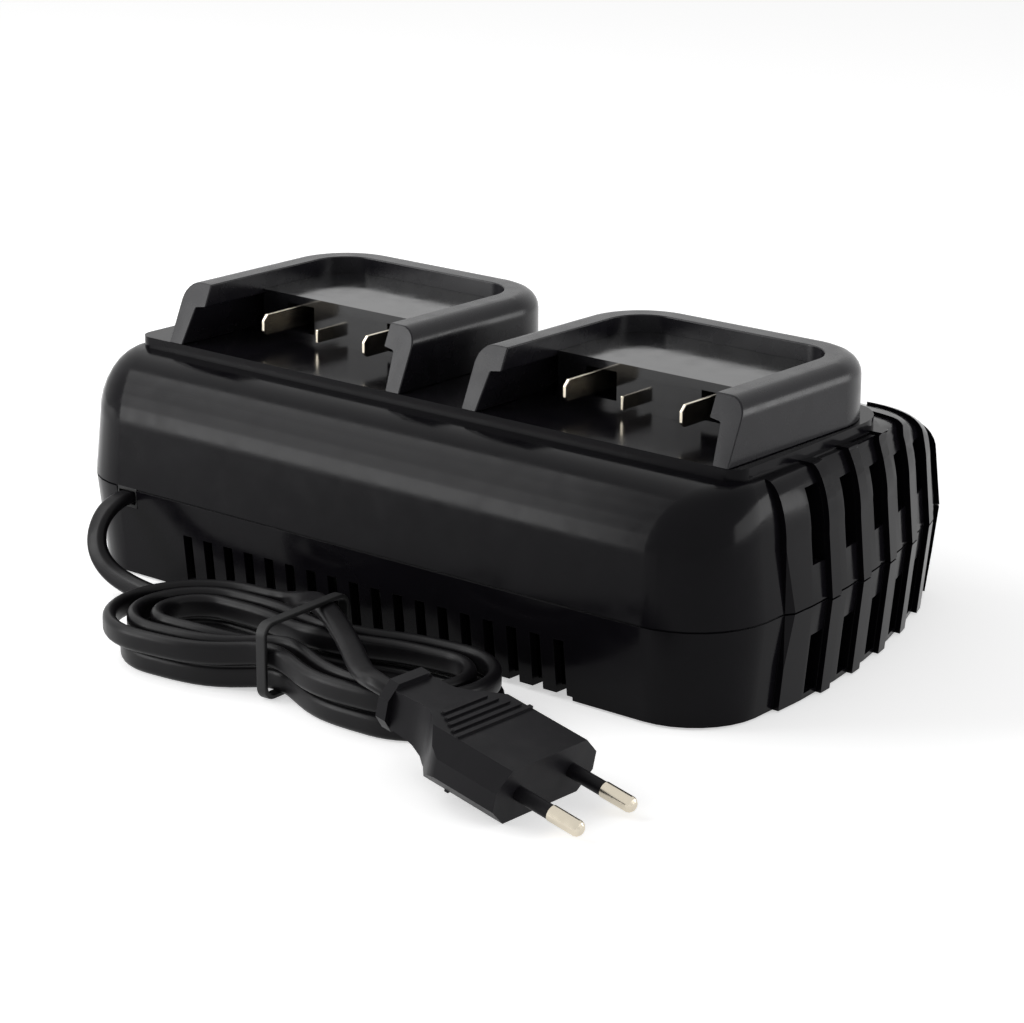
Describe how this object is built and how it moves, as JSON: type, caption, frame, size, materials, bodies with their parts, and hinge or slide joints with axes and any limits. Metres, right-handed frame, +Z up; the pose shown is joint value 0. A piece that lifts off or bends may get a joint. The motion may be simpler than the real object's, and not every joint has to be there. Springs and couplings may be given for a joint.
{
  "type": "power tool battery charger",
  "caption": "Side-by-side slide-in battery charger: rounded vented housing, U-shaped docks with contact blades, inner circuit and cooling fan, flat mains lead in a tied hank, pinned plug.",
  "frame": {"origin": "middle of the housing's footprint, on the table under the feet, without the lead and plug", "axes": "+X to the right along the length, +Y to the rear, away from the open fronts of the bays, +Z up"},
  "size_m": [0.2396, 0.2105, 0.0783],
  "materials": {
    "housing": "glossy black ABS",
    "terminal_plastic": "black glass-filled nylon",
    "contact_metal": "bright nickel plate",
    "light_pipe": "frosted clear plastic",
    "screw_steel": "zinc-plated steel",
    "rubber": "matt black rubber",
    "circuit_board": "green board with lacquer",
    "ferrite": "grey-black ferrite",
    "winding": "yellow winding tape",
    "aluminium": "plain extruded aluminium",
    "capacitor_sleeve": "dark blue shrink sleeve",
    "fuse_glass": "clear glass",
    "wire_insulation": "PVC wire",
    "fan_plastic": "satin black fan plastic",
    "cord_pvc": "satin black PVC",
    "tie_plastic": "black coated tie",
    "plug_pvc": "satin black PVC",
    "pin_sleeve": "black nylon sleeve"
  },
  "bodies": {
    "housing": {"upper_shell": "housing", "lower_shell": "housing", "left_dock": "housing", "right_dock": "housing", "left_terminal_block": "terminal_plastic", "right_terminal_block": "terminal_plastic", "left_power_blades": "contact_metal", "right_power_blades": "contact_metal", "left_signal_blade": "contact_metal", "right_signal_blade": "contact_metal", "status_lights": "light_pipe", "housing_screws": "screw_steel", "rubber_feet": "rubber", "main_pcb": "circuit_board", "pcb_screws": "screw_steel", "transformer_core": "ferrite", "transformer_winding": "winding", "heat_sinks": "aluminium", "bulk_capacitors": "capacitor_sleeve", "mains_choke": "ferrite", "mains_fuse": "fuse_glass", "contact_wires": "wire_insulation", "fan_frame": "fan_plastic", "cord_bushing": "cord_pvc", "cord_clamp": "terminal_plastic", "mains_wires": "wire_insulation", "cord_lead": "cord_pvc", "cord_hank": "cord_pvc", "cord_tail": "cord_pvc", "cord_tie": "tie_plastic", "plug_body": "plug_pvc", "plug_sleeves": "pin_sleeve", "plug_pins": "contact_metal"},
    "fan": {"fan_rotor": "fan_plastic"}
  },
  "joints": [
    {"name": "fan_spin", "type": "hinge", "parent": "housing", "child": "fan", "pos_m": [0.092, -0.012, 0.028], "axis": [1, 0, 0], "continuous": true}
  ]
}
